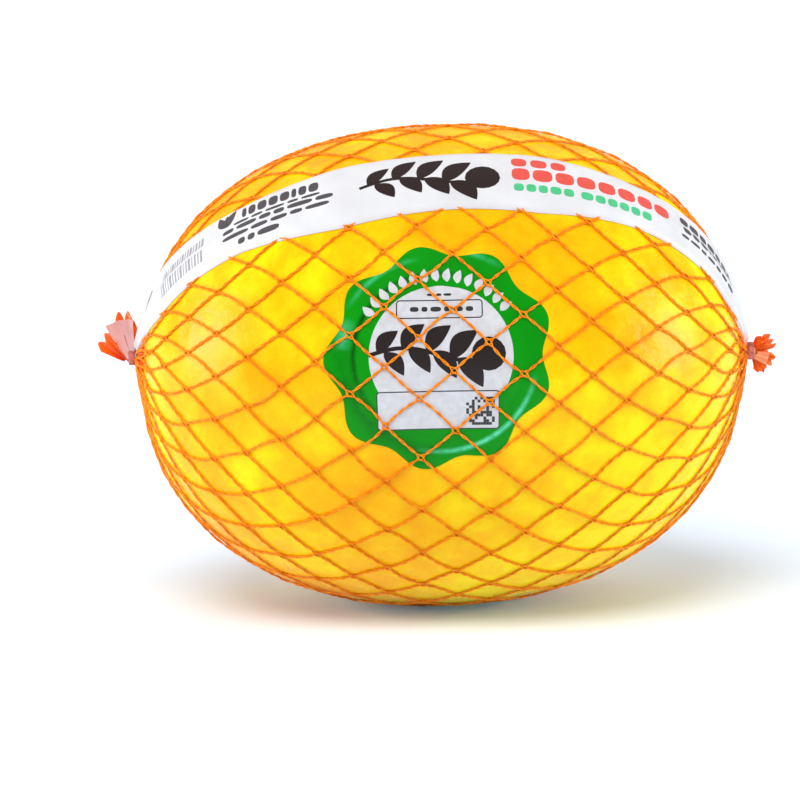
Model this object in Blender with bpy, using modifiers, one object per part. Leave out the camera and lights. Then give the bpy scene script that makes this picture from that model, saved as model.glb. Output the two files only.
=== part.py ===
"""A whole yellow melon in a knitted carrying net, lying on its side.

The fruit lies in a diamond net that is gathered, clipped and flared into a ruffle at both ends.
A film label band runs over the net from clip to clip, and a round scalloped sticker sits on the
skin under the net. Metres, +Z up. +X runs along the fruit, -Y is the side with the sticker, and
the origin is on the surface that it rests on, below the middle of the fruit.
"""
import math

import bmesh
import bpy
import numpy as np
from mathutils import Matrix, Vector

MM = 0.001

# The fruit
FRUIT_LENGTH = 184.0 * MM
FRUIT_DIAMETER = 147.0 * MM
PROFILE_POWER = 2.19                  # 2 is an ellipse, more is blunter
LYING_TILT = math.radians(1.7)        # the +X end lies a little higher
FLAT_DEPTH = 0.7 * MM                 # how far the resting spot is pressed in
FRUIT_SEGMENTS, FRUIT_RINGS = 52, 28
SCAR_RADIUS, SCAR_DEPTH = 7.0 * MM, 1.6 * MM

# The net, whose strands are ribbons with a triangular section, point towards the skin
CELLS_AROUND = 26
BAR_LENGTH = 13.6 * MM                # from knot to knot along a strand
STRAND_HALF_WIDTH = 0.8 * MM
STRAND_BOTTOM = 0.68 * MM             # clearance of a knot's point above the skin
STRAND_TOP = STRAND_BOTTOM + 0.9 * MM
FIRST_RING_X = 3.2 * MM               # where the middle ring of knots lies
FIRST_KNOT_ANGLE = math.radians(180.0 - 7.4)
NET_TWIST = math.radians(10.0)        # turn of the net from one end to the other
LEFT_LIFT, RIGHT_LIFT = math.radians(2.7), math.radians(1.7)   # of the gathered ends
GATHER_RADIUS = 17.0 * MM             # inside this the strands are one gathered cone

# The gathered ends
GATHER_BOTTOM, GATHER_TOP = 0.45 * MM, 2.1 * MM   # of the cone at the neck, above the skin
GATHER_EDGE_TOP = STRAND_TOP + 0.2 * MM
PLEAT_DEPTH = 0.5 * MM
TOOTH_LENGTH = 2.5 * MM               # how far the cone's edge runs out along each strand
NECK_RADIUS = 1.6 * MM
NECK_START, TAIL_START = 2.0 * MM, 4.9 * MM   # beyond the fruit's end
TAIL_LOBES = 5
# Each end's direction, the pitch, length and radius of its ruffle, how much further its upper
# side reaches, the turn of its lobes, and the length and width of the band's tail on it
ENDS = {
    "left": dict(side=-1, pitch=math.radians(62), length=11.0 * MM, radius=6.3 * MM, skew=0.18,
                 turn=math.radians(-45), film_length=11.0 * MM, film_width=8.5 * MM),
    "right": dict(side=1, pitch=math.radians(-6), length=7.2 * MM, radius=8.0 * MM, skew=-0.1,
                  turn=0.0, film_length=4.8 * MM, film_width=5.0 * MM),
}

# The label band
FILM_THICKNESS = 0.25 * MM
FILM_GAP = 0.3 * MM
FILM_WIDTH = 28.0 * MM
FILM_STRAIGHT = 30.0 * MM             # how far from the middle it keeps its full width
FILM_SHOULDER = 60.0 * MM             # how far from the middle it starts to draw in to the clips
FILM_SHOULDER_WIDTH = 20.0 * MM
FILM_TAPER = 0.55                     # width gained per radius of the fruit beyond the shoulder
FILM_NECK_WIDTH = 4.0 * MM
FILM_NECK_RADIUS = NECK_RADIUS + 0.25 * MM
FILM_END_RADIUS = 5.1 * MM            # of the fruit, where it leaves the net for the neck
FILM_ANGLE = math.radians(180.0 - 56.0)
FILM_DRIFT = math.radians(-3.0)       # its turn from the middle to each shoulder
FILM_TAIL_ANGLE = math.radians(180.0 - 15.0)
FILM_STATIONS, FILM_COLUMNS = 37, 7

# The clips
CLIP_INNER, CLIP_OUTER = 2.4 * MM, 3.05 * MM
CLIP_START, CLIP_END = 2.75 * MM, 4.7 * MM    # beyond the fruit's end
CLIP_ROUNDING = 0.2 * MM
CLIP_SIDES = 20

# The sticker
STICKER_RADIUS = 32.9 * MM
STICKER_SCALLOP = 1.8 * MM
STICKER_LOBES, SEGMENTS_A_LOBE = 9, 6
FIRST_LOBE_ANGLE = math.radians(20.9)
STICKER_STRETCH = 0.7 * MM            # it is a little longer one way
STRETCH_ANGLE = math.radians(64.0)
STICKER_ANGLE = math.radians(180.0 - 10.5)
STICKER_X = -1.2 * MM
STICKER_BOTTOM, STICKER_TOP = 0.15 * MM, 0.30 * MM
STICKER_BEND_RADIUS = 75.5 * MM       # mean radius of the skin under it

# Worked out from the above
HALF_LENGTH, HALF_HEIGHT = FRUIT_LENGTH / 2, FRUIT_DIAMETER / 2
CENTRE_HEIGHT = HALF_HEIGHT + STRAND_TOP - FLAT_DEPTH
HALF_CELL = math.pi / CELLS_AROUND
TILT = Matrix.Rotation(-LYING_TILT, 3, "Y")

COLLECTION = bpy.data.collections.new("melon_in_net")


def clear_scene():
    for old in list(bpy.data.objects):
        bpy.data.objects.remove(old, do_unlink=True)
    bpy.context.scene.collection.children.link(COLLECTION)


def material(name, colour, roughness, metallic=0.0):
    new = bpy.data.materials.new(name)
    new.use_nodes = True
    shader = new.node_tree.nodes["Principled BSDF"]
    shader.inputs["Base Color"].default_value = (*colour, 1.0)
    shader.inputs["Roughness"].default_value = roughness
    shader.inputs["Metallic"].default_value = metallic
    return new


def add_object(name, mesh, finish):
    new = bpy.data.objects.new(name, mesh)
    mesh.materials.append(finish)
    COLLECTION.objects.link(new)
    return new


def mesh_from(bm, name):
    """The bmesh as a mesh with its faces pointing out."""
    bmesh.ops.recalc_face_normals(bm, faces=bm.faces)
    mesh = bpy.data.meshes.new(name)
    bm.to_mesh(mesh)
    bm.free()
    return mesh


def profile_table(samples=4000):
    """Arc length along the fruit's side view, with the place along X and the radius there."""
    turn = np.linspace(-math.pi / 2, math.pi / 2, samples)
    x = HALF_LENGTH * np.sign(turn) * np.abs(np.sin(turn)) ** (2 / PROFILE_POWER)
    r = HALF_HEIGHT * np.abs(np.cos(turn)) ** (2 / PROFILE_POWER)
    r[0] = r[-1] = 0.0
    steps = np.hypot(np.diff(x), np.diff(r))
    arc = np.concatenate(([0.0], np.cumsum(steps)))
    return arc - arc[-1] / 2, x, r


ARC, ARC_X, ARC_R = profile_table()
ARC_END = ARC[-1]


def profile(arc):
    """Place along X and radius at an arc length from the fruit's middle."""
    return float(np.interp(arc, ARC, ARC_X)), float(np.interp(arc, ARC, ARC_R))


def arc_at_radius(radius, side):
    """Arc length at which one half of the fruit has this radius."""
    return side * float(np.interp(-radius, -ARC_R[ARC >= 0], ARC[ARC >= 0]))


def fruit_point(direction, offset):
    """The point of the fruit's surface in this direction, raised by offset along its normal."""
    local = TILT.transposed() @ direction
    across = math.hypot(local.y, local.z)
    size = abs(local.x / HALF_LENGTH) ** PROFILE_POWER + (across / HALF_HEIGHT) ** PROFILE_POWER
    local = local * size ** (-1 / PROFILE_POWER)
    across = max(math.hypot(local.y, local.z), 1e-9)
    slope_x = math.copysign(abs(local.x / HALF_LENGTH) ** (PROFILE_POWER - 1) / HALF_LENGTH, local.x)
    slope_r = (across / HALF_HEIGHT) ** (PROFILE_POWER - 1) / HALF_HEIGHT
    normal = Vector((slope_x, slope_r * local.y / across, slope_r * local.z / across)).normalized()
    point = TILT @ (local + normal * offset)
    point.z = max(point.z + CENTRE_HEIGHT, STRAND_TOP - offset)
    return point


def bag_point(arc, angle, offset):
    """A point of the net's surface, whose poles are lifted a little. Angle 0 is +Y, 90 is up."""
    x, r = profile(arc)
    lift = (LEFT_LIFT if x < 0 else -RIGHT_LIFT) * (x / HALF_LENGTH) ** 2
    direction = Vector((x, r * math.cos(angle), r * math.sin(angle)))
    direction.rotate(Matrix.Rotation(lift, 3, "Y"))
    return fruit_point(direction, offset)


def net_angle(ring, place, arc):
    """Angle of a knot: every second ring is turned by half a cell, and the whole net twists."""
    twist = NET_TWIST * profile(arc)[0] / FRUIT_LENGTH
    return FIRST_KNOT_ANGLE + HALF_CELL * (2 * place + ring % 2) + twist


def next_ring(arc, side):
    """Arc length of the next ring of knots, one bar length away."""
    middle = (STRAND_BOTTOM + STRAND_TOP) / 2
    x0, r0 = profile(arc)
    r0 += middle
    near, far = arc, arc + side * BAR_LENGTH
    for _ in range(50):
        guess = (near + far) / 2
        x1, r1 = profile(guess)
        r1 += middle
        around_squared = r0 ** 2 + r1 ** 2 - 2 * r0 * r1 * math.cos(HALF_CELL)
        if math.sqrt((x1 - x0) ** 2 + around_squared) < BAR_LENGTH:
            near = guess
        else:
            far = guess
    return near


def knot_rings():
    """Arc lengths of the rings of knots, from the -X end to the +X end, numbered from the middle."""
    rings = {0: float(np.interp(FIRST_RING_X, ARC_X, ARC))}
    for side in (-1, 1):
        ring = 0
        while profile(rings[ring])[1] > GATHER_RADIUS:
            rings[ring + side] = next_ring(rings[ring], side)
            ring += side
    return dict(sorted(rings.items()))


def knot_corners(bm, ring, place, arc, slant):
    """The four outer corners of a knot and its point towards the skin."""
    angle = net_angle(ring, place, arc)
    radius = profile(arc)[1] + STRAND_TOP
    along = STRAND_HALF_WIDTH / math.sin(slant)
    around = STRAND_HALF_WIDTH / math.cos(slant) / radius
    return {
        "east": bm.verts.new(bag_point(arc + along, angle, STRAND_TOP)),
        "west": bm.verts.new(bag_point(arc - along, angle, STRAND_TOP)),
        "north": bm.verts.new(bag_point(arc, angle + around, STRAND_TOP)),
        "south": bm.verts.new(bag_point(arc, angle - around, STRAND_TOP)),
        "point": bm.verts.new(bag_point(arc, angle, STRAND_BOTTOM)),
    }


def add_strand(bm, start, end, turn):
    """One strand from a knot to one in the next ring, towards a larger or a smaller angle."""
    ahead, behind = ("north", "south") if turn > 0 else ("south", "north")
    edges = ((start["east"], end[behind]), (start[ahead], end["west"]))
    bm.faces.new((edges[0][0], edges[0][1], edges[1][1], edges[1][0]))
    for near, far in edges:
        bm.faces.new((near, far, end["point"], start["point"]))


def cage_mesh():
    """The open diamond net between the gathered ends."""
    bm = bmesh.new()
    rings = knot_rings()
    first, last = min(rings), max(rings)
    knots = {}
    for ring, arc in rings.items():
        neighbour = rings[ring - 1 if ring > 0 else ring + 1]
        slant = math.atan2(HALF_CELL * profile(arc)[1], abs(arc - neighbour))
        for place in range(CELLS_AROUND):
            knots[ring, place] = knot_corners(bm, ring, place, arc, slant)
    for ring in range(first, last):
        for place in range(CELLS_AROUND):
            start = knots[ring, place]
            ahead = (place + ring % 2) % CELLS_AROUND
            add_strand(bm, start, knots[ring + 1, ahead], 1)
            add_strand(bm, start, knots[ring + 1, (ahead - 1) % CELLS_AROUND], -1)
    for (ring, place), knot in knots.items():
        top = [knot[name] for name in ("west", "north", "east", "south")]
        if ring in (first, last):
            outer = "west" if ring == first else "east"
            top.remove(knot[outer])
            bm.faces.new((knot["north"], knot["south"], knot["point"]))
            bm.verts.remove(knot[outer])
        bm.faces.new(top)
    return mesh_from(bm, "cage")


def end_frames(end):
    """Neck and tail sections beyond one end of the fruit, as functions of the way along them."""
    side, pitch = end["side"], end["pitch"]
    pole = bag_point(side * ARC_END, 0.0, 0.0)

    def frame(way):
        """Centre, and the two directions across, at a distance beyond the fruit's end."""
        over = max(way - TAIL_START, 0.0)
        bend = pitch if over > 0 else 0.0
        centre = pole + Vector((side * min(way, TAIL_START), 0, 0))
        centre += Vector((side * math.cos(bend), 0, math.sin(bend))) * over
        up = Vector((-side * math.sin(bend), 0, math.cos(bend)))
        return centre, Vector((0, 1, 0)), up

    return frame


def around_frame(frame, way, radius, angle):
    centre, sideways, up = frame(way)
    return centre + sideways * (radius * math.cos(angle)) + up * (radius * math.sin(angle))


def tail_radius(end, share):
    """Outer radius of the ruffle at a share of its length."""
    return max(NECK_RADIUS, end["radius"] * share)


def lobe(end, angle):
    """1 on the ruffle's folds and 0 between them."""
    return (0.5 + 0.5 * math.cos(TAIL_LOBES * angle + end["turn"])) ** 0.8


def bridge(bm, lower, upper):
    for k in range(len(lower)):
        n = (k + 1) % len(lower)
        bm.faces.new((lower[k], lower[n], upper[n], upper[k]))


def fan(bm, ring, centre):
    tip = bm.verts.new(centre)
    for k in range(len(ring)):
        bm.faces.new((ring[k], ring[(k + 1) % len(ring)], tip))


def gather_mesh(end, edge_ring, edge_arc):
    """One gathered end: the pleated cone on the fruit, the neck in the clip and the ruffle."""
    bm = bmesh.new()
    side, frame = end["side"], end_frames(end)
    angles = [net_angle(edge_ring, k / 2, edge_arc) for k in range(2 * CELLS_AROUND)]
    edge = profile(edge_arc)[1]

    def cone_ring(share, offset, tooth=0.0, pleat=0.0):
        """A ring at a share of the edge's radius. Teeth are on the strands, pleats between them."""
        ring = []
        arc = arc_at_radius(share * edge, side)
        for k, angle in enumerate(angles):
            between = k % 2
            point = bag_point(arc - side * tooth * (1 - between), angle, offset - pleat * between)
            ring.append(bm.verts.new(point))
        return ring

    def ruffle_ring(share):
        """A ring at a share of the ruffle's length, which is longest and widest on its folds."""
        ring = []
        inner = NECK_RADIUS * (0.9 - 0.2 * share)
        for angle in angles:
            fold, reach = lobe(end, angle), 1 + end["skew"] * math.sin(angle)
            way = TAIL_START + end["length"] * share * (0.7 + 0.3 * fold) * reach
            radius = inner + (tail_radius(end, share) * reach - inner) * fold
            ring.append(bm.verts.new(around_frame(frame, way, radius, angle)))
        return ring

    rings = [
        cone_ring(0.35, GATHER_BOTTOM),
        cone_ring(0.75, GATHER_BOTTOM),
        cone_ring(1.02, GATHER_BOTTOM, tooth=TOOTH_LENGTH),
        cone_ring(1.00, GATHER_EDGE_TOP, tooth=TOOTH_LENGTH),
        cone_ring(0.70, GATHER_EDGE_TOP, pleat=PLEAT_DEPTH),
        cone_ring(0.30, GATHER_TOP, pleat=PLEAT_DEPTH),
    ]
    for way in (NECK_START, TAIL_START):
        rings.append([bm.verts.new(around_frame(frame, way, NECK_RADIUS, angle)) for angle in angles])
    rings += [ruffle_ring(share) for share in (0.3, 0.65, 1.0)]
    for lower, upper in zip(rings, rings[1:]):
        bridge(bm, lower, upper)
    fan(bm, rings[0], bag_point(side * ARC_END, 0.0, GATHER_BOTTOM))
    fan(bm, rings[-1], frame(TAIL_START + 0.45 * end["length"])[0])
    return mesh_from(bm, "gather")


def join(target, others):
    """One Boolean union of the target with the others, which are then removed."""
    tools = bpy.data.collections.new("union_tools")
    for other in others:
        COLLECTION.objects.unlink(other)
        tools.objects.link(other)
    bpy.context.scene.collection.children.link(tools)
    union = target.modifiers.new("union", "BOOLEAN")
    union.operation = "UNION"
    union.solver = "EXACT"
    union.operand_type = "COLLECTION"
    union.collection = tools
    evaluated = target.evaluated_get(bpy.context.evaluated_depsgraph_get())
    joined = bpy.data.meshes.new_from_object(evaluated)
    target.modifiers.clear()
    target.data = joined
    for other in others:
        bpy.data.objects.remove(other, do_unlink=True)
    bpy.data.collections.remove(tools)


def make_fruit():
    """A sphere drawn out to the fruit's surface, with a shallow scar at each end."""
    bm = bmesh.new()
    bmesh.ops.create_uvsphere(bm, u_segments=FRUIT_SEGMENTS, v_segments=FRUIT_RINGS, radius=1.0,
                              matrix=Matrix.Rotation(math.pi / 2, 4, "Y"))
    for vert in bm.verts:
        across = math.hypot(vert.co.y, vert.co.z) * HALF_LENGTH
        scar = SCAR_DEPTH * math.exp(-(across / SCAR_RADIUS) ** 2)
        vert.co = fruit_point(vert.co, -scar)
    fruit = add_object("melon", mesh_from(bm, "melon"),
                       material("melon_skin", (0.94, 0.52, 0.02), 0.38))
    fruit.data.shade_smooth()


def make_net():
    finish = material("net_knit", (0.90, 0.17, 0.01), 0.5)
    net = add_object("net", cage_mesh(), finish)
    rings = knot_rings()
    ends = []
    for name, end in ENDS.items():
        ring = min(rings) if end["side"] < 0 else max(rings)
        ends.append(add_object("gather_" + name, gather_mesh(end, ring, rings[ring]), finish))
    join(net, ends)


def film_width(arc):
    """Width of the band where it lies on the net."""
    x, r = profile(arc)
    narrowing = min(max((abs(x) - FILM_STRAIGHT) / (FILM_SHOULDER - FILM_STRAIGHT), 0.0), 1.0)
    width = FILM_WIDTH + (FILM_SHOULDER_WIDTH - FILM_WIDTH) * narrowing
    return min(width, FILM_NECK_WIDTH + FILM_TAPER * r)


def film_sections():
    """Sections of the band from one tail to the other, each a list of inner and outer points."""
    across = np.linspace(-0.5, 0.5, FILM_COLUMNS)

    def on_net(arc):
        """A section where the band lies on the strands, or on the cone, which stands higher."""
        x, r = profile(arc)
        middle = FILM_ANGLE + FILM_DRIFT * x / FILM_SHOULDER
        rise = min(max((1.6 * GATHER_RADIUS - r) / GATHER_RADIUS, 0.0), 1.0)
        low = STRAND_TOP + (GATHER_TOP - STRAND_TOP) * rise + FILM_GAP
        angles = middle + film_width(arc) / (r + low) * across
        return ([bag_point(arc, angle, low) for angle in angles],
                [bag_point(arc, angle, low + FILM_THICKNESS) for angle in angles])

    def beyond(end, way, width, radius, turn):
        """A section on the neck or the ruffle, turned by a share towards the tail's angle."""
        frame = end_frames(end)
        middle = FILM_ANGLE + (FILM_TAIL_ANGLE - FILM_ANGLE) * turn
        angles = middle + width / radius * across
        return ([around_frame(frame, way, radius, angle) for angle in angles],
                [around_frame(frame, way, radius + FILM_THICKNESS, angle) for angle in angles])

    def end_part(end):
        part = [beyond(end, CLIP_START, FILM_NECK_WIDTH, FILM_NECK_RADIUS, 0.0),
                beyond(end, TAIL_START, FILM_NECK_WIDTH, FILM_NECK_RADIUS, 0.3)]
        for share in (0.35, 0.7, 1.0):
            way = end["film_length"] * share
            radius = tail_radius(end, min(way / (0.7 * end["length"]), 1.0)) + FILM_GAP
            width = FILM_NECK_WIDTH + (end["film_width"] - FILM_NECK_WIDTH) * share
            part.append(beyond(end, TAIL_START + way, width, radius, 0.3 + 0.7 * share))
        return part

    reach = arc_at_radius(FILM_END_RADIUS, 1)
    on_fruit = [on_net(arc) for arc in np.linspace(-reach, reach, FILM_STATIONS)]
    return end_part(ENDS["left"])[::-1] + on_fruit + end_part(ENDS["right"])


def make_band():
    """The film label band: a strip lofted through its sections."""
    bm = bmesh.new()
    rings = [[bm.verts.new(p) for p in inner + outer[::-1]] for inner, outer in film_sections()]
    for lower, upper in zip(rings, rings[1:]):
        bridge(bm, lower, upper)
    for ring in (rings[0], rings[-1]):
        half = len(ring) // 2
        for k in range(half - 1):
            bm.faces.new((ring[k], ring[k + 1], ring[-2 - k], ring[-1 - k]))
    add_object("label_band", mesh_from(bm, "label_band"), material("film", (0.93, 0.92, 0.93), 0.3))


def make_sticker():
    """The round sticker with a scalloped edge, wrapped on the skin."""
    bm = bmesh.new()
    middle = Vector((STICKER_X / HALF_HEIGHT, math.cos(STICKER_ANGLE), math.sin(STICKER_ANGLE)))
    middle.normalize()
    upward = middle.cross(Vector((1, 0, 0))).normalized()
    along = upward.cross(middle)

    def ring(share, offset):
        points = []
        for k in range(STICKER_LOBES * SEGMENTS_A_LOBE):
            turn = FIRST_LOBE_ANGLE + 2 * math.pi * k / (STICKER_LOBES * SEGMENTS_A_LOBE)
            wave = STICKER_SCALLOP * math.cos(STICKER_LOBES * (turn - FIRST_LOBE_ANGLE))
            wave += STICKER_STRETCH * math.cos(2 * (turn - STRETCH_ANGLE))
            bend = (share * STICKER_RADIUS + share ** 4 * wave) / STICKER_BEND_RADIUS
            across = along * math.cos(turn) + upward * math.sin(turn)
            direction = middle * math.cos(bend) + across * math.sin(bend)
            points.append(bm.verts.new(fruit_point(direction, offset)))
        return points

    shares = [0.2, 0.4, 0.6, 0.8, 1.0]
    rings = [ring(share, STICKER_BOTTOM) for share in shares]
    rings += [ring(share, STICKER_TOP) for share in reversed(shares)]
    for lower, upper in zip(rings, rings[1:]):
        bridge(bm, lower, upper)
    fan(bm, rings[0], fruit_point(middle, STICKER_BOTTOM))
    fan(bm, rings[-1], fruit_point(middle, STICKER_TOP))
    finish = material("sticker_paper", (0.02, 0.35, 0.03), 0.35)
    add_object("seal_sticker", mesh_from(bm, "seal_sticker"), finish)


def make_clip(name, end):
    """A crimped metal clip: a turned ring with rounded edges around the neck."""
    corners = ((CLIP_OUTER, CLIP_END), (CLIP_OUTER, CLIP_START), (CLIP_INNER, CLIP_START),
               (CLIP_INNER, CLIP_END))
    mesh = bpy.data.meshes.new(name)
    mesh.from_pydata([(radius, 0, way) for radius, way in corners], [(0, 1), (1, 2), (2, 3), (3, 0)], [])
    clip = add_object(name, mesh, material("clip_metal", (0.75, 0.70, 0.68), 0.35, 0.8))
    clip.location = bag_point(end["side"] * ARC_END, 0.0, 0.0)
    clip.rotation_euler = (0, end["side"] * math.pi / 2, 0)
    turned = clip.modifiers.new("turned", "SCREW")
    turned.steps = turned.render_steps = CLIP_SIDES
    turned.use_merge_vertices = True
    turned.merge_threshold = 0.01 * MM
    edge = clip.modifiers.new("rounded", "BEVEL")
    edge.width = CLIP_ROUNDING
    edge.segments = 1
    edge.limit_method = "ANGLE"
    edge.angle_limit = math.radians(50)


def main():
    clear_scene()
    make_fruit()
    make_net()
    make_band()
    make_sticker()
    for name, end in ENDS.items():
        make_clip("clip_" + name, end)


main()
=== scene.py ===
"""Looks of a whole yellow melon in a knitted carrying net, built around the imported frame.

The fruit, the net's filaments, its gathered ends, the film band, the sticker and the clips each
replace their plain CAD solid. Metres, in the frame's own axes: +X runs along the fruit, -Y is
the side with the sticker, +Z is up, and the floor is at z = 0.
"""
from math import cos, degrees, pi, radians, sin, sqrt

import bmesh
import bpy
import numpy as np
from mathutils import Matrix, Vector


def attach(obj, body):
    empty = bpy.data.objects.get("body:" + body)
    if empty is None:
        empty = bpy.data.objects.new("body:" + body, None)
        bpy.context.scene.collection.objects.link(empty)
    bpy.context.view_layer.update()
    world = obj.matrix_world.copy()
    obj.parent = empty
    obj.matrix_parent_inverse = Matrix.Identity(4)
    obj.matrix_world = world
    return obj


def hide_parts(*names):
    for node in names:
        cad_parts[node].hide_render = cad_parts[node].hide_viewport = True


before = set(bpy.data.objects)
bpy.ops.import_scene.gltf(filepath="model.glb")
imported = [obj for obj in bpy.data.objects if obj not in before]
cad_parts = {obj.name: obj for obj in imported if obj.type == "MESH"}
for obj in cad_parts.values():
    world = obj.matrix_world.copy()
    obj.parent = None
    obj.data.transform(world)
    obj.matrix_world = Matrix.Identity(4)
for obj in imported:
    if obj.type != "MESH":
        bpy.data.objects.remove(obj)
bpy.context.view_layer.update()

MM = 0.001
BODY = "root"

# The fruit, as in the construction
HALF_LENGTH, HALF_HEIGHT = 92.0 * MM, 73.5 * MM
PROFILE_POWER = 2.19
LYING_TILT = radians(1.7)
CENTRE_HEIGHT = 74.38 * MM
FLAT_LEVEL = 1.30 * MM  # of the surface that offsets are measured from, at the flat
SKIN_HEIGHT = 0.25 * MM  # of the skin above that surface
SCAR_RADIUS, SCAR_DEPTH = 6.0 * MM, 0.8 * MM
FRUIT_SEGMENTS, FRUIT_RINGS = 216, 128
# Shallow swells of the fruit and all that lies on it: height in mm, wave by axis, and phase
SWELLS = ((0.10, (3.1, 2.2, -1.4), 0.4), (0.08, (-2.0, 4.1, 2.7), 1.9),
          (0.05, (5.2, -3.3, 4.6), 3.0))

# The net
CELLS_AROUND = 26
BAR_LENGTH = 13.6 * MM
BAR_HEIGHT = 1.13 * MM  # of the bars' middle, for their spacing
FIRST_RING_X = 3.2 * MM
FIRST_KNOT_ANGLE = radians(180.0 - 7.4)
NET_TWIST = radians(10.0)
LEFT_LIFT, RIGHT_LIFT = radians(2.7), radians(1.7)
GATHER_RADIUS = 17.0 * MM
FILAMENT_RADIUS = 0.22 * MM
FILAMENT_GAP = 0.04 * MM  # between the filaments and the skin
FLOOR_GAP = 0.03 * MM
TWIST_RADIUS, KNOT_HALF_GAP = 0.26 * MM, 0.68 * MM
KNOT_LENGTH = 0.11  # as a share of a bar
CROSSING_LIFT = 2.1 * FILAMENT_RADIUS  # of the family that crosses above the other
HALF_TURNS_A_BAR = 4
MOST_BOW = 0.9 * MM  # by which a slack bar bends aside
POINTS_A_BAR = 16
FILAMENT_SIDES = 5

# The gathered ends
NECK_RADIUS = 1.6 * MM
TAIL_START = 4.9 * MM  # way beyond the pole at which the tail starts and bends
PILE_FOOT, PILE_TOP = 0.3 * MM, 1.9 * MM  # heights of the bunched strands at the neck
PILE_LAYERS = 5
CONE_RADIUS, CONE_TOP_RADIUS = 12.0 * MM, 1.9 * MM
CONE_COLUMNS, CONE_ROWS, PLEATS = 208, 16, 52
# Way beyond the pole and radius of the neck, in mm
NECK_PROFILE = ((1.9, 1.55), (2.5, 1.5), (3.6, 1.5), (4.9, 1.5), (5.2, 1.1))
PETAL_THICKNESS = 0.30 * MM
PETAL_ROWS, PETAL_COLUMNS = 22, 25
ENDS = {
    "left": dict(side=-1, pitch=radians(62)),
    "right": dict(side=1, pitch=radians(-6)),
}

# The label band
FILM_WIDTH, FILM_SHOULDER_WIDTH, FILM_NECK_WIDTH = 28.0 * MM, 20.0 * MM, 4.0 * MM
FILM_STRAIGHT, FILM_SHOULDER = 30.0 * MM, 60.0 * MM
FILM_TAPER = 0.55
FILM_END_RADIUS = 5.1 * MM
FILM_ANGLE, FILM_DRIFT = radians(180.0 - 56.0), radians(-3.0)
FILM_HEIGHT = 1.42 * MM
FILM_THICKNESS = 0.10 * MM
FILM_EDGE_GAP = 0.15 * MM  # between its outermost columns and the skin
FILM_PINCH, PINCH_X, PINCH_LENGTH = 4.2, 5.0 * MM, 27.0 * MM  # the pinch itself is in mm
FILM_STATIONS, FILM_COLUMNS = 241, 25
FILM_IN_CLIP_RADIUS = 1.95 * MM

# The sticker
STICKER_RADIUS, STICKER_SCALLOP, STICKER_LOBES = 32.9 * MM, 1.8 * MM, 9
FIRST_LOBE_ANGLE = radians(20.9)
STICKER_STRETCH, STRETCH_ANGLE = 0.7 * MM, radians(64.0)
STICKER_ANGLE, STICKER_X = radians(180.0 - 10.5), -1.2 * MM
STICKER_BEND_RADIUS = 75.5 * MM
STICKER_COLUMNS, STICKER_ROWS = 216, 30
STICKER_PLAN = 100.0  # side in mm of the square that the material's places span
MARK_THICKNESS = 0.012 * MM
# Heights above the skin, in mm
STICKER_UNDER, STICKER_TOP, STICKER_RIPPLE = 0.03, 0.09, 0.03
WHITE_HEIGHT, INK_HEIGHT = 0.115, 0.14

# The clips
CLIP_RADIUS, CLIP_WAY = 2.40 * MM, 3.72 * MM
CLIP_HALF_WIDTH, CLIP_HALF_THICKNESS = 0.95 * MM, 0.30 * MM
CLIP_CORNERS, CLIP_STATIONS = 12, 61
CLIP_HALF_TURN, CLIP_PINCH_FROM = 155, 125  # in degrees from its far side

# The camera
CAMERA_DISTANCE = 1.4  # metres, from the fruit's middle along the view
CAMERA_ELEVATION = radians(9.0)
CAMERA_ROLL = radians(1.0)
SENSOR_WIDTH = 36.0
FRAME_SIZE = 800
FRUIT_PIXEL = (441.1, 364.8)  # where the fruit's middle is in the photograph
FRUIT_HALF_HEIGHT_PIXELS = 241.4  # with the net

# Lights: azimuth, elevation, strength, spread, and whether they show in glossy surfaces
LIGHTS = {
    "left_light": (-88, 10, 2.3, 32, True),
    "right_light": (86, 10, 2.1, 32, True),
    "front_light": (-14, 54, 2.15, 36, False),
    "back_light": (170, 42, 0.45, 60, False),
}
WORLD_STRENGTH = 0.36
FLOOR_HALF = 8.0


# Surfaces of the fruit and the net

def profile_table(samples=4000):
    """Arc length along the fruit's side view, with the place along X and the radius there."""
    turn = np.linspace(-pi / 2, pi / 2, samples)
    x = HALF_LENGTH * np.sign(turn) * np.abs(np.sin(turn)) ** (2 / PROFILE_POWER)
    r = HALF_HEIGHT * np.abs(np.cos(turn)) ** (2 / PROFILE_POWER)
    r[0] = r[-1] = 0.0
    arc = np.concatenate(([0.0], np.cumsum(np.hypot(np.diff(x), np.diff(r)))))
    return arc - arc[-1] / 2, x, r


ARC, ARC_X, ARC_R = profile_table()
ARC_END = ARC[-1]
TILT = np.array(Matrix.Rotation(-LYING_TILT, 3, "Y"))


def x_at(arc):
    return np.interp(arc, ARC, ARC_X)


def radius_at(arc):
    return np.interp(arc, ARC, ARC_R)


def arc_at_radius(radius, side):
    """Arc length at which one half of the fruit has this radius."""
    return side * np.interp(-np.asarray(radius), -ARC_R[ARC >= 0], ARC[ARC >= 0])


def unit(vectors):
    return vectors / np.maximum(np.linalg.norm(vectors, axis=-1, keepdims=True), 1e-12)


def share_between(value, start, end):
    """0 at the start and before it, 1 at the end and beyond it."""
    return np.clip((value - start) / (end - start), 0.0, 1.0)


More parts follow.
